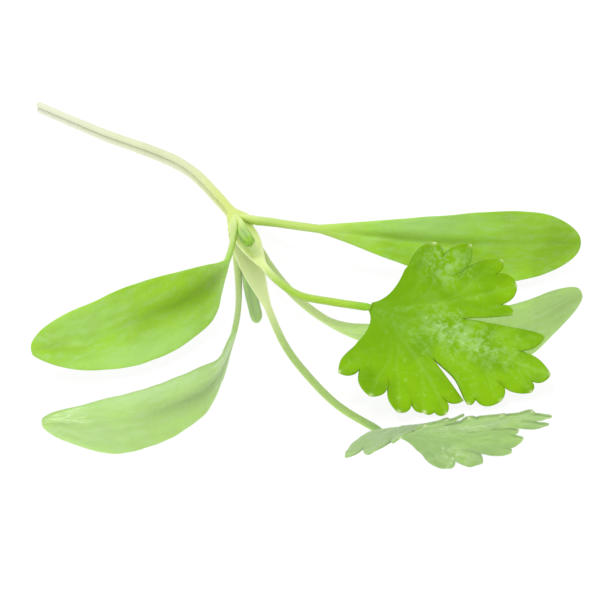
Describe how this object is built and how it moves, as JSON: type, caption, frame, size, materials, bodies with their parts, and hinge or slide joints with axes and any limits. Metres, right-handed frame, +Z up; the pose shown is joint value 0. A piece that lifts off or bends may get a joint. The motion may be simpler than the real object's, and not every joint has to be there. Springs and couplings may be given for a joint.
{
  "type": "coriander microgreen seedling",
  "caption": "Cut coriander seedling lying on a surface: pale stem, two oblong seed leaves on edge, a toothed fan-shaped true leaf on a sheathing stalk, and a folded young leaf.",
  "frame": {"origin": "on the surface that the seedling lies on, under the middle of its overall box", "axes": "+Z up from the surface; +Y towards the cut end of the stem, along the longest extent; +X towards the tip of the right seed leaf"},
  "size_m": [0.0484, 0.0636, 0.0109],
  "materials": {
    "stem": "pale moist stem, slightly translucent",
    "seed_leaf": "smooth waxy seed leaf, satin",
    "true_leaf": "fresh glossy leaf with pale veins",
    "bud": "folded young leaf, satin"
  },
  "bodies": {
    "root": {"stem": "stem", "left_seed_leaf": "seed_leaf", "right_seed_leaf": "seed_leaf", "first_leaf": "true_leaf", "second_leaf_bud": "bud"}
  },
  "joints": []
}
